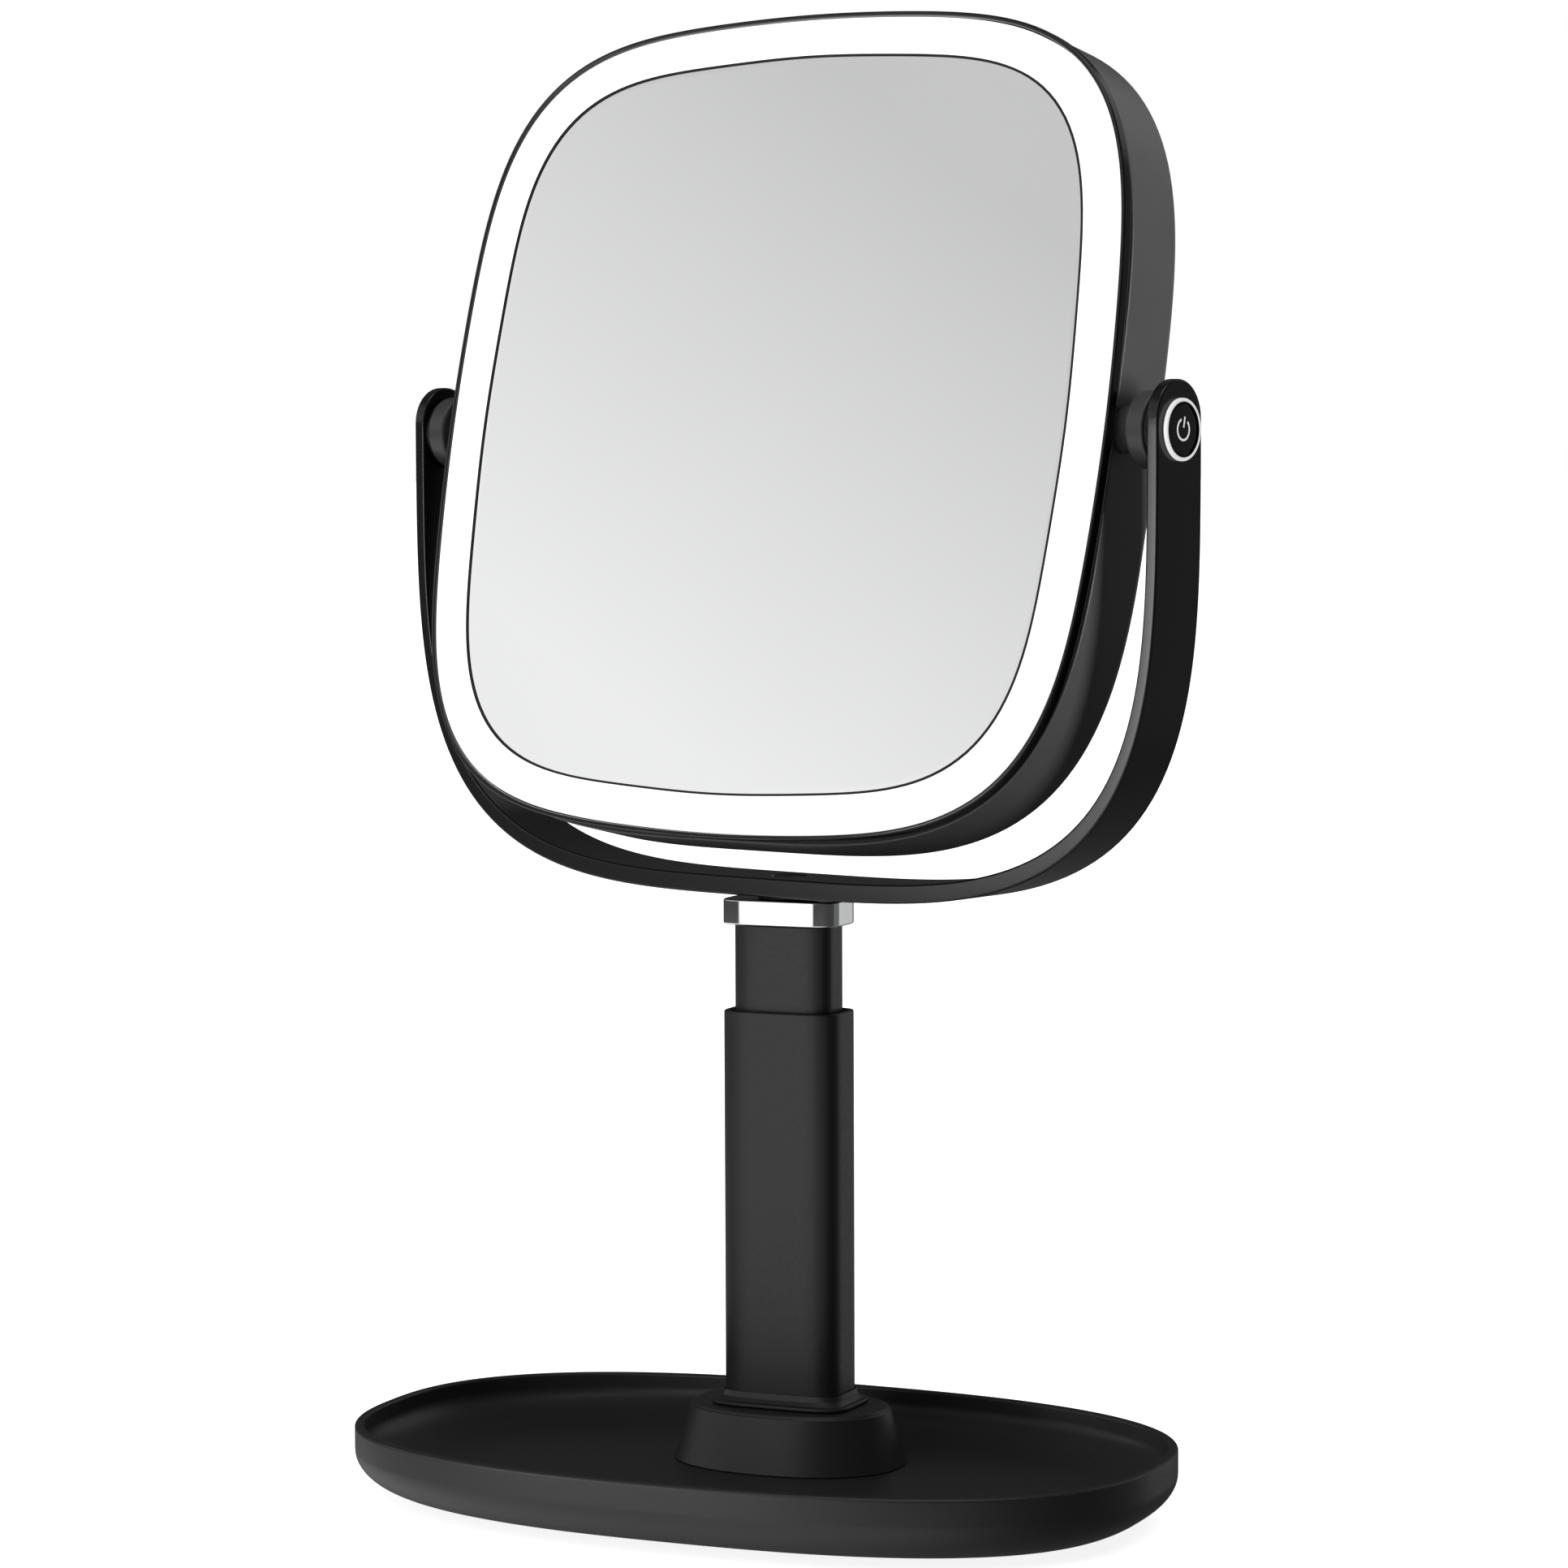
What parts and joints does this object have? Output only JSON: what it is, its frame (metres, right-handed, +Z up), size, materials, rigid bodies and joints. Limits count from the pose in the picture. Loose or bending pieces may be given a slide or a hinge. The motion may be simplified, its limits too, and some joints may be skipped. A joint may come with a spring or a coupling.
{
  "type": "lighted countertop mirror",
  "caption": "Lighted rounded-square countertop mirror that tilts in a swivelling U-shaped yoke, on a telescopic column standing in an oval accessory tray.",
  "frame": {"origin": "the column's axis where it meets the surface the mirror stands on, on the underside of the non-slip pad", "axes": "+Z up along the column, +X to the viewer's right along the tray's long side, -Y towards the viewer"},
  "size_m": [0.2549, 0.1499, 0.4066],
  "materials": {
    "satin_black": "fine satin moulded black",
    "gloss_black": "polished black",
    "chrome": "mirror-bright plating",
    "steel": "zinc-plated",
    "mirror": "back-silvered float glass with a polished edge",
    "light_ring": "opal acrylic, lit from behind",
    "white_plastic": "white reflector-grade moulding",
    "nylon": "natural nylon",
    "black_acetal": "plain black acetal",
    "rubber": "matt black non-slip sheet",
    "foam": "adhesive foam sheet",
    "circuit_board": "solder-masked laminate",
    "battery_foil": "laminated pouch foil",
    "lead": "soft insulated wire"
  },
  "bodies": {
    "base": {"friction_spring_left": "steel", "friction_spring_right": "steel", "tray": "satin_black", "non_slip_pad": "rubber", "bottom_cover": "satin_black", "ballast_plate": "steel", "cover_screw_1": "steel", "cover_screw_2": "steel", "cover_screw_3": "steel", "cover_screw_4": "steel", "anchor_screw_1": "steel", "anchor_screw_2": "steel", "hub_cover": "satin_black", "column_foot_ring": "satin_black", "column": "satin_black", "column_anchor": "nylon", "guide_bush": "black_acetal"},
    "post": {"inner_post": "satin_black", "post_shoe": "nylon", "post_head_block": "nylon", "chrome_collar": "chrome"},
    "yoke": {"yoke_arm": "satin_black", "swivel_screw": "steel", "swivel_washer": "black_acetal", "spring_washer": "steel", "lock_nut": "steel"},
    "head": {"light_diffuser": "light_ring", "mirror_glass": "mirror", "mirror_pad": "foam", "front_bezel": "gloss_black", "mirror_carrier": "white_plastic", "led_board": "circuit_board", "rear_housing": "satin_black", "housing_screw_1": "steel", "housing_screw_2": "steel", "housing_screw_3": "steel", "housing_screw_4": "steel", "battery_pack": "battery_foil", "control_board": "circuit_board", "charging_inlet": "steel", "battery_lead": "lead", "led_lead": "lead", "switch_lead": "lead", "pivot_boss_right": "satin_black", "pivot_boss_left": "satin_black", "pivot_nut_right": "steel", "pivot_nut_left": "steel", "friction_washer_right": "black_acetal", "friction_washer_left": "black_acetal", "button_ring": "light_ring", "pivot_cap": "satin_black", "switch_board": "circuit_board", "tact_switch": "gloss_black"},
    "button": {"power_button": "gloss_black"}
  },
  "joints": [
    {"name": "post_lift", "type": "slide", "parent": "base", "child": "post", "axis": [0, 0, 1], "range_m": [-0.0222, 0.045]},
    {"name": "yoke_swivel", "type": "hinge", "parent": "post", "child": "yoke", "pos_m": [0, 0, 0.1656], "axis": [0, 0, 1], "continuous": true},
    {"name": "head_tilt", "type": "hinge", "parent": "yoke", "child": "head", "pos_m": [0, 0, 0.293], "axis": [0.9665, -0.2566, 0], "continuous": true},
    {"name": "button_press", "type": "slide", "parent": "head", "child": "button", "axis": [-0.9665, 0.2566, 0], "range_m": [0, 0.0006], "stiffness_N_per_m": 1500, "springref_m": -0.0006}
  ]
}
